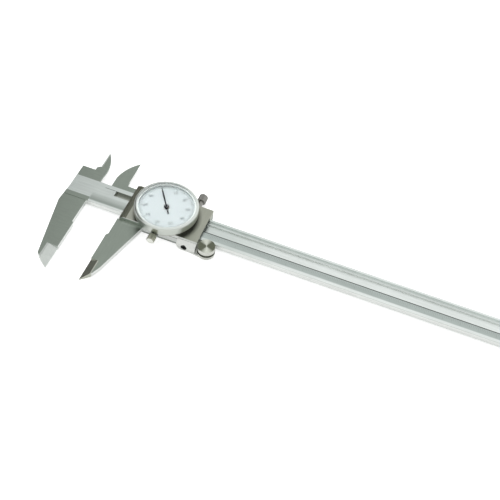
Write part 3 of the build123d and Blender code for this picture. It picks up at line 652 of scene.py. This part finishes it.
# Lock screw and bezel clamp screw. Each has a head with straight knurling between two
# bevelled ends, and a plain shank.
knurl_depth = 0.14 * mm
knurl_bevel = 0.35 * mm
knurl_edges = 64
clamp_side_colour = linear(176, 178, 162)
clamp_end_colour = linear(232, 234, 226)


def knurled_screw(name, node, head_length, shank_radius, out, material):
    """Takes the place of a CAD screw, which is the one piece of its body.

    out is 1 where the head is at the larger y, or else -1.
    """
    low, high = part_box(node)
    centre = (low + high) / 2
    head_radius = (high.x - low.x) / 2
    head_end = high.y if out > 0 else low.y
    shank_end = low.y if out > 0 else high.y
    along_axis = Matrix.Rotation(math.radians(-90 * out), 4, "X")
    shape = bmesh.new()
    place = Matrix.Translation((centre.x, head_end - out * head_length / 2, centre.z)) @ along_axis
    bmesh.ops.create_cone(shape, cap_ends=True, segments=knurl_edges, radius1=head_radius,
                          radius2=head_radius, depth=head_length - 2 * knurl_bevel, matrix=place)
    for vertex in shape.verts:
        spoke = Vector((vertex.co.x - centre.x, 0, vertex.co.z - centre.z))
        if round(math.atan2(spoke.z, spoke.x) / math.tau * knurl_edges) % 2:
            vertex.co -= spoke.normalized() * knurl_depth
    ends = [face for face in shape.faces if len(face.verts) > 4]
    bmesh.ops.inset_region(shape, faces=ends, thickness=knurl_bevel, depth=knurl_bevel)
    neck = abs(head_end - shank_end) - head_length
    place = Matrix.Translation((centre.x, shank_end + out * neck / 2, centre.z)) @ along_axis
    bmesh.ops.create_cone(shape, cap_ends=True, segments=40, radius1=shank_radius,
                          radius2=shank_radius, depth=neck, matrix=place)
    made = new_object(name, shape, material)
    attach(made, node)
    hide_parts(node)


def clamp_colour(tree):
    end = inside(tree, 0.05, y=(None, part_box("bezel_clamp_screw")[0].y + 0.1 * mm))
    return mix_colours(tree, end, clamp_side_colour, clamp_end_colour)


lock_steel = ground_metal("lock_steel", linear(158, 158, 153), along_y, 0.3)
clamp_steel = ground_metal("clamp_steel", clamp_colour, along_y, 0.3)
knurled_screw("knurled_lock_screw", "lock_screw", head_length=5.0 * mm,
              shank_radius=1.5 * mm, out=1, material=lock_steel)
knurled_screw("knurled_clamp_screw", "bezel_clamp_screw", head_length=4.3 * mm,
              shank_radius=1.0 * mm, out=-1, material=clamp_steel)
give(plain_steel, "bezel_clamp")


# Thumb roller, turned all over, with a groove round it, on an axle in the bracket. Its flat
# top has a painted highlight: the two bright sectors that a turned face shows in light.
roller_low, roller_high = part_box("thumb_roller")
roller_groove = (roller_high.z - 4.3 * mm, roller_high.z - 2.6 * mm)
sheen_turn = math.radians(114)
sheen_dark_colour = linear(100, 104, 89)
sheen_bright_colour = linear(214, 218, 206)
roller_side_colour = linear(206, 208, 200)
roller_groove_shade_colour = linear(120, 122, 112)


# Painted highlight: bright and dark sectors by angle on the flat top, and painted shade in the groove.
def roller_colour(tree):
    place = add_node(tree, "TexCoord")
    mapping = add_node(tree, "Mapping", vector_type="TEXTURE")
    mapping.inputs["Location"].default_value = (roller_low + roller_high) / 2
    mapping.inputs["Rotation"].default_value = (0, 0, sheen_turn)
    tree.links.new(place.outputs["Object"], mapping.inputs["Vector"])
    sweep = add_node(tree, "TexGradient", gradient_type="RADIAL")
    tree.links.new(mapping.outputs["Vector"], sweep.inputs["Vector"])
    wave = calculate(tree, "COSINE", calculate(tree, "MULTIPLY", sweep.outputs["Fac"], 2 * math.tau))
    sheen = mix_colours(tree, spread(tree, wave, 0.0, 1.0, -0.2, 1.0),
                        sheen_dark_colour, sheen_bright_colour)
    flat = inside(tree, 0.05, z=(roller_high.z - 0.05 * mm, None))
    # Painted shade in the groove round the roller.
    return lay_over(tree, roller_side_colour, (flat, sheen),
                    (inside(tree, 0.05, z=roller_groove), roller_groove_shade_colour))


roller_steel = ground_metal("roller_steel", roller_colour, any_way, 0.22, contrast=0.05, relief=0.1)
give(roller_steel, "thumb_roller", "roller_axle")


# Bracket of the roller, a small block, nickel plated and rough. A blackened socket screw
# holds it against the slider's lower edge.
give(ground_metal("bracket_nickel", linear(236, 238, 234), any_way, 0.5), "roller_bracket")
give(ground_metal("blackened_steel", linear(40, 42, 40), any_way, 0.4), "bracket_screw")
